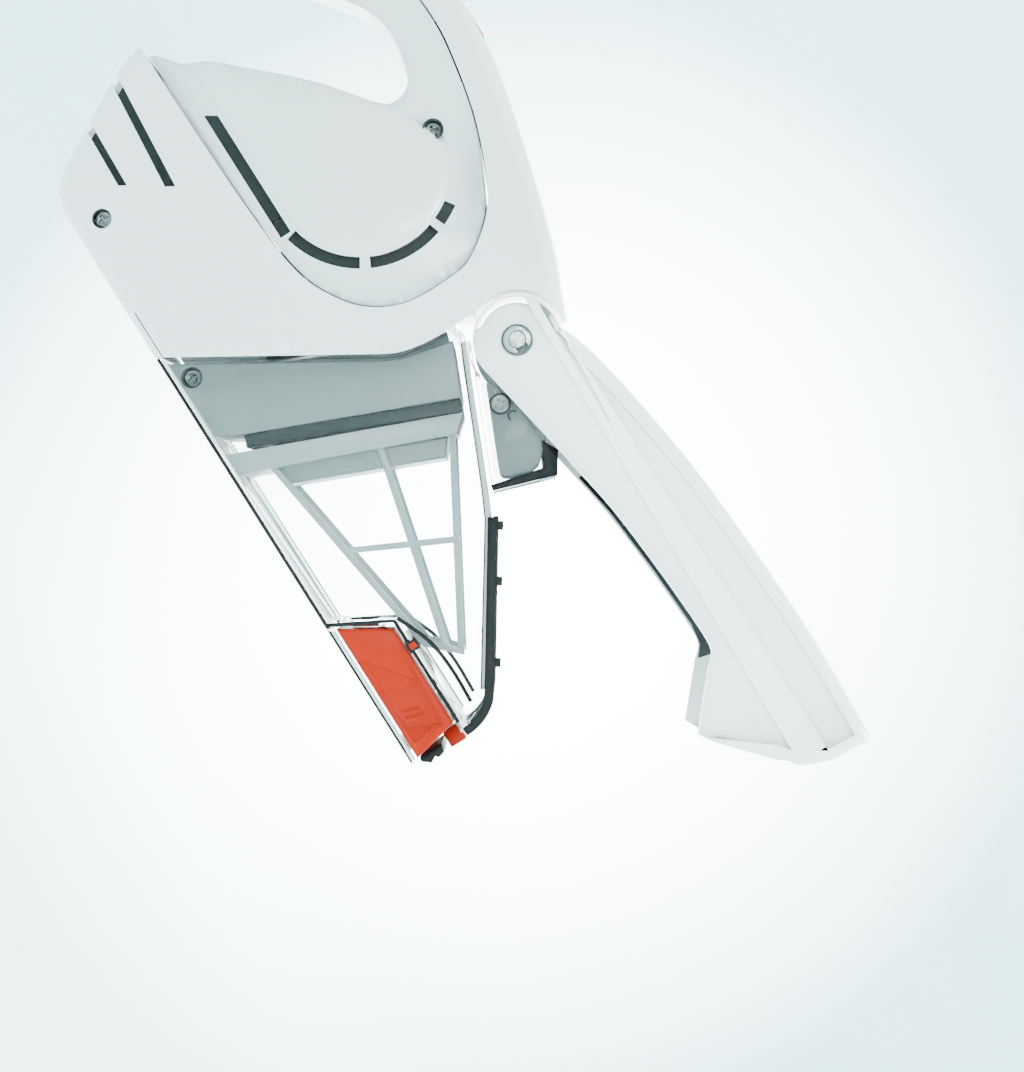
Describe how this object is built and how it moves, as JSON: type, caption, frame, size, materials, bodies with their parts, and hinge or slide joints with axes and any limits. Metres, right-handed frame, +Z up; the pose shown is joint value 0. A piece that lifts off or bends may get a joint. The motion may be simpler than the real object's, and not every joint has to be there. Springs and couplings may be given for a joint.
{
  "type": "handheld vacuum cleaner",
  "caption": "Cordless handheld vacuum with clear dust bowl, flip-open nozzle door, slide-out crevice tool and curved tail handle.",
  "frame": {"origin": "middle of the bounding box in plan, on the flat underside, with the door fully open", "axes": "+X towards the nose, +Y towards the object's left when it faces +X, +Z up"},
  "size_m": [0.4026, 0.078, 0.1682],
  "materials": {
    "white_plastic": "gloss moulded",
    "pod_plastic": "gloss moulded",
    "grey_plastic": "satin moulded",
    "dark_plastic": "satin moulded",
    "black_rubber": "matt",
    "orange_plastic": "satin moulded",
    "clear_plastic": "clear polished",
    "cage_plastic": "satin moulded",
    "steel": "bright",
    "copper": "enamelled windings",
    "board_green": "solder mask",
    "cell_wrap": "shrink sleeve",
    "filter_paper": "pleated paper"
  },
  "bodies": {
    "housing": {"housing_left": "white_plastic", "housing_right": "white_plastic", "motor_pod_left": "pod_plastic", "motor_pod_right": "pod_plastic", "filter_deck": "grey_plastic", "hinge_bracket_left": "grey_plastic", "hinge_bracket_right": "grey_plastic", "motor_mount": "grey_plastic", "deck_gasket": "dark_plastic", "fan_housing": "dark_plastic", "switch_body": "dark_plastic", "charging_socket": "dark_plastic", "bowl_seal": "black_rubber", "dust_bowl": "clear_plastic", "hinge_box": "clear_plastic", "filter_frame": "cage_plastic", "door_axle": "steel", "axle_clip_left": "steel", "axle_clip_right": "steel", "housing_screw_rear": "steel", "housing_screw_handle": "steel", "deck_screw": "steel", "bracket_screw": "steel", "motor_can": "steel", "circuit_board": "board_green", "battery_cell_1": "cell_wrap", "battery_cell_2": "cell_wrap", "battery_cell_3": "cell_wrap", "pleated_filter": "filter_paper"},
    "door": {"door_shell": "white_plastic", "door_liner": "dark_plastic", "door_inlay": "white_plastic", "axle_bush_left": "clear_plastic", "axle_bush_right": "clear_plastic"},
    "tool": {"crevice_tool": "orange_plastic", "tool_catch": "orange_plastic"},
    "switch": {"power_slider": "orange_plastic"},
    "rotor": {"impeller": "cage_plastic", "motor_armature": "copper"}
  },
  "joints": [
    {"name": "door_hinge", "type": "hinge", "parent": "housing", "child": "door", "pos_m": [0.0072, 0, 0.1161], "axis": [0, 1, 0], "range_deg": [0, 39]},
    {"name": "tool_slide", "type": "slide", "parent": "housing", "child": "tool", "axis": [1, 0, 0], "range_m": [0, 0.045]},
    {"name": "switch_slide", "type": "slide", "parent": "housing", "child": "switch", "axis": [1, 0, 0], "range_m": [0, 0.007]},
    {"name": "fan_spin", "type": "hinge", "parent": "housing", "child": "rotor", "pos_m": [-0.002, 0, 0.0494], "axis": [0.9226, 0, -0.3858], "continuous": true}
  ]
}
